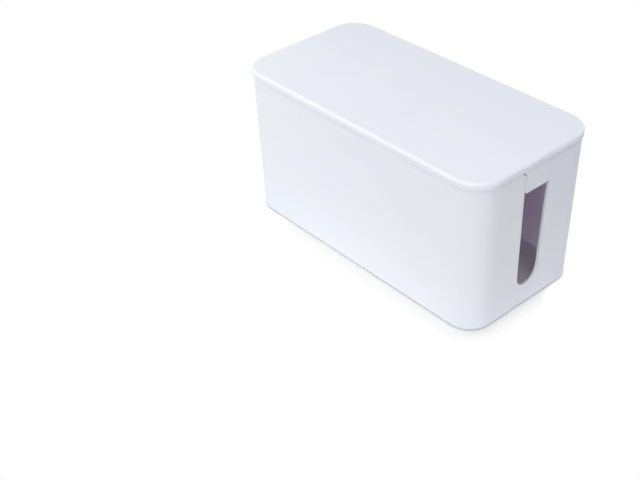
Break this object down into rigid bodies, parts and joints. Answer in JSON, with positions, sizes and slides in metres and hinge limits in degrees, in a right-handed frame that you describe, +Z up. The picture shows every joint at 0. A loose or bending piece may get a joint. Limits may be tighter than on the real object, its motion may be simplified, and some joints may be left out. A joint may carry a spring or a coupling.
{
  "type": "cable management box",
  "caption": "Rounded white plastic box that hides a power strip and its cables, with a lift-off lid and a tall tapered cable slot in each end.",
  "frame": {"origin": "middle of the footprint, on the plane that the feet stand on", "axes": "+X along the box's length towards one slotted end, +Y across its width, +Z up through the lid"},
  "size_m": [0.235, 0.115, 0.12],
  "materials": {
    "shell_plastic": "satin white moulding",
    "foot_rubber": "matte dark rubber"
  },
  "bodies": {
    "tub": {"tub": "shell_plastic", "foot_1": "foot_rubber", "foot_2": "foot_rubber", "foot_3": "foot_rubber", "foot_4": "foot_rubber"},
    "lid": {"lid": "shell_plastic"}
  },
  "joints": [
    {"name": "lid_lift", "type": "slide", "parent": "tub", "child": "lid", "axis": [0, 0, 1], "range_m": [0, 0.12]}
  ]
}
